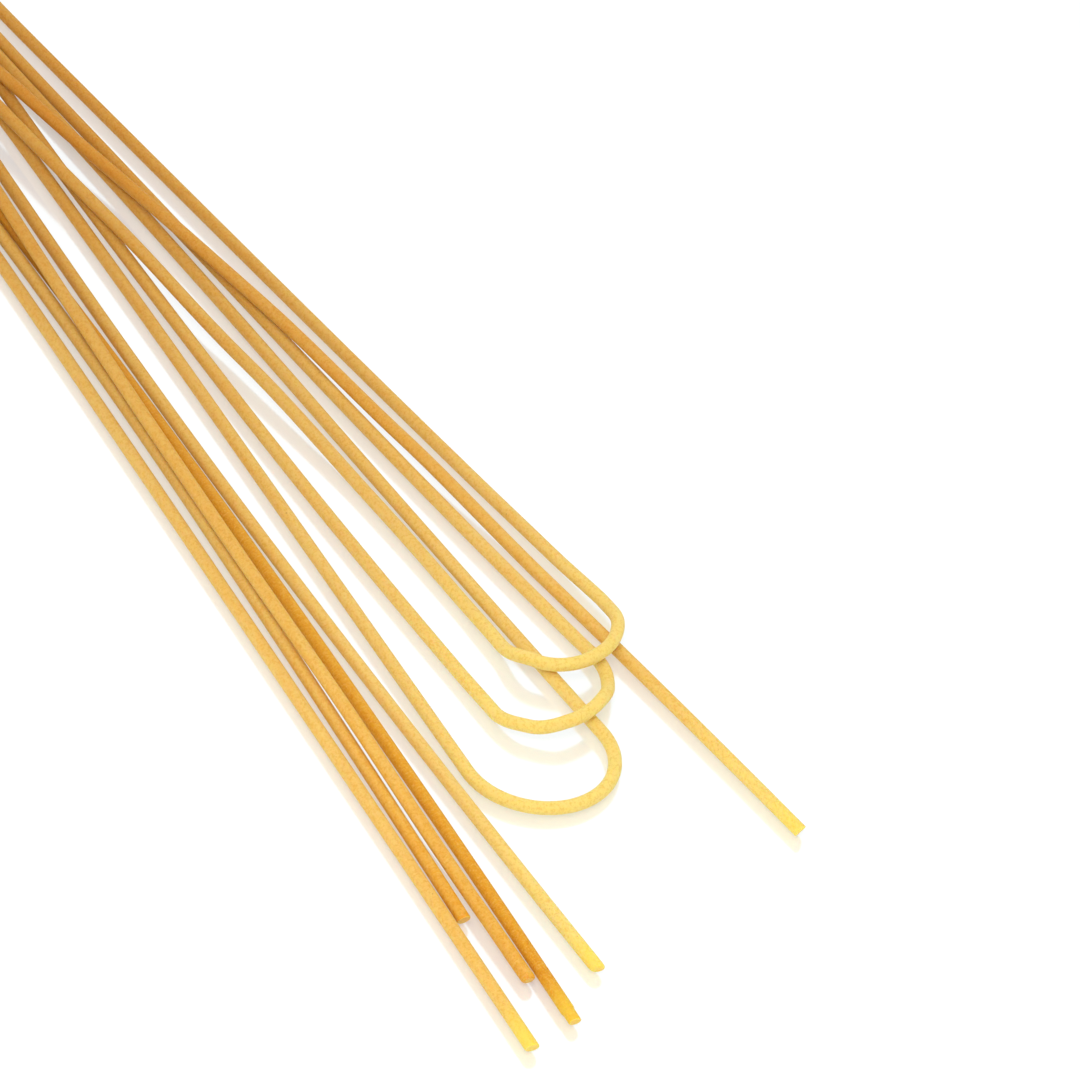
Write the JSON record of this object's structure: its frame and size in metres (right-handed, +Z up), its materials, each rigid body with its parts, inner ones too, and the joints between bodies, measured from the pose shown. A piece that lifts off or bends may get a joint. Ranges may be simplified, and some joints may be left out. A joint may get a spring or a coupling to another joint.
{
  "type": "bundle of dry spaghetti",
  "caption": "Loose bundle of dry long spaghetti lying flat: straight strands with cut ends and folded strands with round bends at one end, touching and crossing.",
  "frame": {"origin": "bottom centre of the bundle's box, on the surface it lies on", "axes": "+X along the bundle towards the bends, +Y across it, +Z up"},
  "size_m": [0.2981, 0.0588, 0.0051],
  "materials": {
    "pasta_gold": "dull dry durum pasta with fine grain, golden yellow",
    "pasta_amber": "dull dry durum pasta with fine grain, deeper amber yellow"
  },
  "bodies": {
    "root": {"fold_bottom": "pasta_gold", "fold_middle": "pasta_gold", "fold_top": "pasta_gold", "strand_bowed": "pasta_gold", "strand_lowest": "pasta_amber", "strand_outer": "pasta_gold", "strand_past_folds": "pasta_gold", "strand_riding": "pasta_gold", "strand_short": "pasta_gold"}
  },
  "joints": []
}
